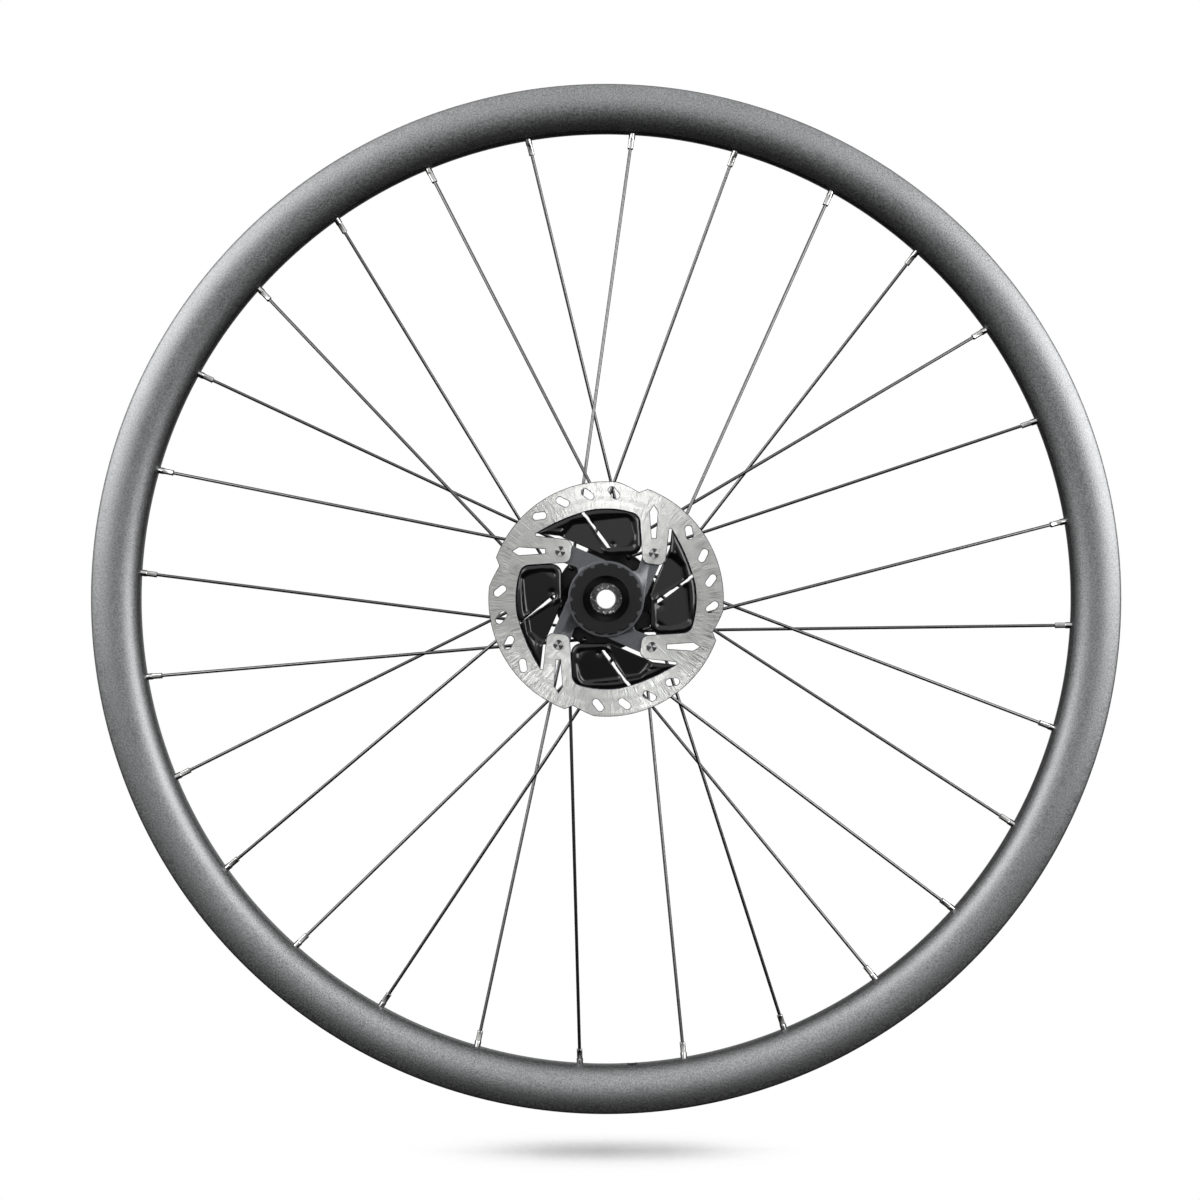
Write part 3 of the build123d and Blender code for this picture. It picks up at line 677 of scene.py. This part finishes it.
def ball_surface(centre, radius, rows=9, around=16):
    """A ball: rings whose radius is the sine of the angle from its pole, at the cosine's height."""
    angle = np.linspace(0, pi, rows)[:, None]
    turn = np.linspace(0, 2 * pi, around, endpoint=False)[None]
    width = np.maximum(np.sin(angle), closed_radius)
    unit_ball = np.stack([width * np.cos(turn), np.cos(angle) + 0 * turn, width * np.sin(turn)], -1)
    return np.asarray(centre) + radius * unit_ball


for side_name, row_y in ball_rows.items():
    outer = f"bearing_{side_name}_outer_race"
    inner = f"bearing_{side_name}_inner_race"
    joined(outer, f"outer_race_{side_name}", "wheel", bearing_steel)
    joined(inner, f"inner_race_{side_name}", "axle", bearing_steel)
    seal = f"dust_seal_{side_name}"
    joined(seal, f"rubber_seal_{side_name}", "wheel", seal_rubber)
    row_shape = Shape()
    for ball_angle in np.arange(ball_count) * 2 * pi / ball_count:
        ball_at = (ball_circle * cos(ball_angle), row_y, ball_circle * sin(ball_angle))
        row_shape.sheet(ball_surface(ball_at, ball_radius), around=True)
    row = row_shape.piece(f"balls_{side_name}")
    row.data.materials.append(bearing_steel)
    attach(row, f"ball_row_{side_name}")
    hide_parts(f"bearing_{side_name}_ball_row")


# Braking ring: stamped from stainless sheet and ground flat in lines that run out from the axle.
# Each line turns the normal sideways, so the face catches the lamps in bright sectors.
# The cut edges carry a painted dark band, which stands for the dark reflection and shade of their
# chamfers.
fine_lines = 2200
coarse_lines = 300
line_breaks, mark_breaks = 100, 90
line_tilt = 3.0
painted_dark_edge_band = 0.35 * mm
ground_flat = new_finish("ground_stainless")
x, _, z = ground_flat.axes()
around = ground_flat.node("ShaderNodeMath", {"operation": "ARCTAN2"}, {0: z, 1: x})
out = (x * x + z * z) ** 0.5
lines_at = {0: around * fine_lines, 1: out * line_breaks, 2: 0.0}
lines = ground_flat.noise(1.0, 0, 0.5, ground_flat.node("ShaderNodeCombineXYZ", {}, lines_at))
marks_at = {0: around * coarse_lines, 1: out * mark_breaks, 2: 0.0}
marks = ground_flat.noise(1.0, 1, 0.5, ground_flat.node("ShaderNodeCombineXYZ", {}, marks_at))
haze = ground_flat.noise(30, 3, 0.6)
along = ground_flat.node("ShaderNodeCombineXYZ", {}, {0: z * -1, 1: 0.0, 2: x})
to_world = {"vector_type": "NORMAL", "convert_from": "OBJECT", "convert_to": "WORLD"}
along = ground_flat.node("ShaderNodeVectorTransform", to_world, {0: along})
combed = {0: along, 1: (lines - 0.5) * line_tilt, 2: ground_flat.eased(0.0003)}
combed = ground_flat.node("ShaderNodeVectorMath", {"operation": "MULTIPLY_ADD"}, combed)
face = ground_flat.blend((marks * 0.5 + haze * 0.5).cut(), (0.55, 0.56, 0.535), (0.75, 0.75, 0.74))
# Painted shade: the marked strip along the cut edges is painted near black and blue, for the dark
# reflection and shade of the chamfers.
steel = ground_flat.done(
    Base_Color=ground_flat.blend(ground_flat.marked("painted_dark_edge"), face, (0.012, 0.012, 0.030)),
    Metallic=0.9,
    Roughness=0.30 + haze * 0.06,
    Normal=ground_flat.node("ShaderNodeVectorMath", {"operation": "NORMALIZE"}, {0: combed}),
)
joined("rotor_braking_track", "brake_ring", "wheel", steel, painted_dark_edge_band)


# Cooling fins: thin aluminium plates with a glossy black finish, pressed so that a rolled border
# stands round two shallow dishes, with a slit between them. Each dish floor is given by its
# corners: their depths inside the ring in millimetres and their angles in degrees.
fin_front = -40.1 * mm
fin_thickness = 1.1 * mm
fin_cell = 0.55 * mm
fin_cell_margin = 0.6
faces_front, faces_side = -0.5, 0.3
fin_crown = 1.1 * mm
fin_border = 5.0 * mm
fin_edge_width, fin_edge_drop = 0.6 * mm, 0.4 * mm
fin_dish_depth = 1.3 * mm
fin_dish_slope = 3.5 * mm
fin_dish_round = 1.5 * mm
fin_dish_share = 0.8
fin_floor_lean = tan(radians(6))
fin_lean_angle = radians(120)
fin_middle = np.array([-8.0, 42.0]) * mm
slit_foot = np.array([2.2, 29.9]) * mm
slit_angle = radians(126.5)
slit_half_band = 1.0 * mm
slit_lowest = 28 * mm
ring_inner = 53.6 * mm
left_dish = ((7.9, 4.9, 6.8, 20.4, 28.5, 16.4), (123.2, 113.7, 104.5, 98.3, 94.1, 126.3))
right_dish = ((6.4, 3.1, 12.6, 19.4, 23.3), (100.9, 75.1, 67.0, 68.5, 85.1))
dimple_at = (4.1 * mm, 32.3 * mm)
dimple_radius = 1.5 * mm
dimple_depth = 0.7 * mm


def front_outline(node):
    """The corners of a plate's outline, in order: the edges that lie between a face of its front
    and a face of its side."""
    whole = bmesh.new()
    whole.from_mesh(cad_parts[node].data)
    bmesh.ops.remove_doubles(whole, verts=whole.verts, dist=weld_distance)
    whole.normal_update()
    follows = {}
    for edge in whole.edges:
        facing = sorted(face.normal.y for face in edge.link_faces)
        if len(facing) == 2 and facing[0] < faces_front and abs(facing[1]) < faces_side:
            first, second = (corner.index for corner in edge.verts)
            follows.setdefault(first, []).append(second)
            follows.setdefault(second, []).append(first)
    places = {corner.index: (corner.co.x, corner.co.z) for corner in whole.verts}
    whole.free()
    path = [next(iter(follows))]
    while True:
        onward = [corner for corner in follows[path[-1]] if corner not in path[-2:]]
        if not onward or onward[0] == path[0]:
            return np.array([places[corner] for corner in path])
        path.append(onward[0])


def distance_to(points, outline):
    """How far each point is from a closed outline: the least distance to any of its sides, counted
    positive inside, where a ray to the right crosses the outline an odd number of times."""
    start, end = outline, np.roll(outline, -1, 0)
    along = end - start
    length_squared = np.maximum((along ** 2).sum(-1), merge_distance ** 2)
    share = ((points[:, None] - start) * along).sum(-1) / length_squared
    nearest = start + np.clip(share, 0, 1)[..., None] * along
    away = np.linalg.norm(points[:, None] - nearest, axis=-1).min(1)
    x, z = points[:, :1], points[:, 1:]
    crosses = (start[:, 1] > z) != (end[:, 1] > z)
    at = start[:, 0] + (z - start[:, 1]) * along[:, 0] / np.where(along[:, 1] == 0, 1, along[:, 1])
    return away * np.where((crosses & (at > x)).sum(1) % 2, 1, -1)


def smooth(share):
    share = np.clip(share, 0, 1)
    return share * share * (3 - 2 * share)


def fin_height(points, border):
    """How far the plate's face stands forward: a border with a rounded edge and a crown, less each
    dish, whose depth fades over its slope and whose floor leans, less the dimple at the slit's
    foot. The crown is a half wave of sine, and the edge falls as a quarter of a circle does."""
    inside = np.abs(distance_to(points, border))
    edge = np.clip(1 - inside / fin_edge_width, 0, 1)
    crown = fin_crown * np.sin(pi * np.clip(inside / fin_border, 0, 1))
    height = crown - fin_edge_drop * (1 - np.sqrt(1 - edge ** 2))
    dished = np.zeros(len(points))
    for depths, angles in (left_dish, right_dish):
        radius, angle = ring_inner - np.array(depths) * mm, np.radians(angles)
        floor_line = np.stack([radius * np.cos(angle), radius * np.sin(angle)], -1)
        floor_line = floor_line.mean(0) + (floor_line - floor_line.mean(0)) * fin_dish_share
        reach = fin_dish_slope + fin_dish_round + distance_to(points, floor_line)
        dished = np.maximum(dished, smooth(reach / fin_dish_slope))
    lean = (points - fin_middle) @ (cos(fin_lean_angle), sin(fin_lean_angle)) * fin_floor_lean
    away = ((points - np.array(dimple_at)) ** 2 / dimple_radius ** 2).sum(1)
    return height * (1 - dished) - dished * (fin_dish_depth + lean) - dimple_depth * np.exp(-away)


outline = front_outline("cooling_fin_1")
off_slit = (outline - slit_foot) @ (-sin(slit_angle), cos(slit_angle))
border = outline[(np.abs(off_slit) > slit_half_band) | (outline[:, 1] < slit_lowest)]
walk = [start + (end - start) * share for start, end in zip(outline, np.roll(outline, -1, 0))
        for share in np.arange(0, 1, 1 / np.ceil(np.hypot(*(end - start)) / fin_cell))]
low, high = outline.min(0), outline.max(0)
columns, rows = (np.arange(low[axis], high[axis], fin_cell) for axis in (0, 1))
lattice = np.stack(np.meshgrid(columns, rows), -1).reshape(-1, 2)
lattice = lattice[distance_to(lattice, outline) > fin_cell * fin_cell_margin]
spots = [Vector(spot) for spot in np.concatenate([np.array(walk), lattice])]
loop = [(number, (number + 1) % len(walk)) for number in range(len(walk))]
keep_inside = 1
spots, _, cells, *_ = delaunay_2d_cdt(spots, loop, [], keep_inside, weld_distance)
flat = np.array([(x, 0.0, z) for x, z in spots])
flat[:, 1] = fin_front - fin_height(flat[:, [0, 2]], border)
fin_mesh = bpy.data.meshes.new("fin_plate")
fin_mesh.from_pydata(flat, [], cells)
if fin_mesh.polygons[0].normal.y > 0:
    fin_mesh.flip_normals()

lacquer = new_finish("fin_lacquer")
speck = lacquer.noise(1500, 3)
fin_black = lacquer.done(
    Base_Color=lacquer.blend(speck, (0.003, 0.003, 0.003), (0.010, 0.010, 0.0095)),
    Roughness=0.09 + speck * 0.05,
    Normal=lacquer.relief(speck, 0.000010, 0.3),
)
for number in range(4):
    turn = -number * pi / 2
    quarter = np.array([[cos(turn), 0, -sin(turn)], [0, 1, 0], [sin(turn), 0, cos(turn)]])
    mesh = fin_mesh.copy()
    mesh.vertices.foreach_set("co", (flat @ quarter.T).ravel())
    mesh.shade_smooth()
    mesh.materials.append(fin_black)
    fin = bpy.data.objects.new(f"fin_{number + 1}", mesh)
    bpy.context.scene.collection.objects.link(fin)
    wall = fin.modifiers.new("plate thickness", "SOLIDIFY")
    wall.thickness = fin_thickness
    wall.offset = -1
    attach(fin, "wheel")
    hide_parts(f"cooling_fin_{number + 1}")


# Carrier: forged aluminium with a satin blue-grey finish. Its toothed ring slides onto the hub,
# and its four arms are riveted to the arms of the braking ring.
forged = new_finish("satin_grey_forging")
bloom = forged.noise(900, 4, 0.6)
carrier_grey = forged.done(
    Base_Color=forged.blend(bloom, (0.10, 0.103, 0.112), (0.21, 0.214, 0.226)),
    Metallic=0.75,
    Roughness=0.34 + bloom * 0.16,
    Normal=forged.relief(bloom, 0.00003, 0.5, 0.0006),
)
joined("rotor_carrier", "spider", "wheel", carrier_grey)


# Rivets: four steel rivets hold the arms of the ring to those of the carrier. Their heads are
# turned flat, and each has bright bows of painted highlight in its colour, meeting at its middle.
rivet_reach, rivet_offset = 27.2 * mm, 28.4 * mm
highlight_bow_count, highlight_bow_turn = 3, 0.6
groove_lines = 26000
faced = new_finish("faced_rivet")
rivets = joined("rotor_rivets", "rivet_set", "wheel", faced.owner)
places = np.empty(len(rivets.data.vertices) * 3)
rivets.data.vertices.foreach_get("co", places)
places = places.reshape(-1, 3)
centres = np.array([(-rivet_reach, rivet_offset), (rivet_offset, rivet_reach),
                    (rivet_reach, -rivet_offset), (-rivet_offset, -rivet_reach)])
near = np.linalg.norm(places[:, None, [0, 2]] - centres, axis=-1).argmin(1)
own = rivets.data.attributes.new("from_rivet_centre", "FLOAT_VECTOR", "POINT")
own_place = places.copy()
own_place[:, [0, 2]] -= centres[near]
own.data.foreach_set("vector", own_place.ravel())
local = faced.tree.nodes.new("ShaderNodeSeparateXYZ")
read = faced.node("ShaderNodeAttribute", {"attribute_name": "from_rivet_centre"}, {}, 1)
faced.tree.links.new(read.socket, local.inputs[0])
x, z = Value(faced, local.outputs[0]), Value(faced, local.outputs[2])
around = faced.node("ShaderNodeMath", {"operation": "ARCTAN2"}, {0: z, 1: x})
# Painted highlight: bright bows painted into the heads' colour, where a turned face would catch the
# lamps.
painted_highlight_bows = ((around * highlight_bow_count + highlight_bow_turn).sine() * 0.5 + 0.5).ramp(0.35, 0.75)
grooves = ((x * x + z * z) ** 0.5 * groove_lines).sine() * 0.5 + 0.5
grooves_and_painted_bows = (painted_highlight_bows * 0.85 + grooves * 0.15).cut()
faced.done(
    Base_Color=faced.blend(grooves_and_painted_bows, (0.05, 0.05, 0.052), (0.72, 0.72, 0.72)),
    Metallic=0.9,
    Roughness=0.26,
    Normal=faced.relief(grooves, 0.00003, 0.6),
)


# Lockring and washer: a black ring with notches for its tool, on a thin steel washer that spreads
# its load over the carrier.
blacked = new_finish("blacked_lockring")
scuff = blacked.noise(1200, 3, 0.7)
lockring_black = blacked.done(
    Base_Color=blacked.blend(scuff, (0.004, 0.004, 0.004), (0.016, 0.016, 0.017)),
    Roughness=0.42 + scuff * 0.2,
    Specular_IOR_Level=0.3,
    Normal=blacked.relief(scuff, 0.00004, 0.5, 0.0004),
)
joined("lockring", "locking_ring", "wheel", lockring_black)
joined("lockring_washer", "load_washer", "wheel", bearing_steel)
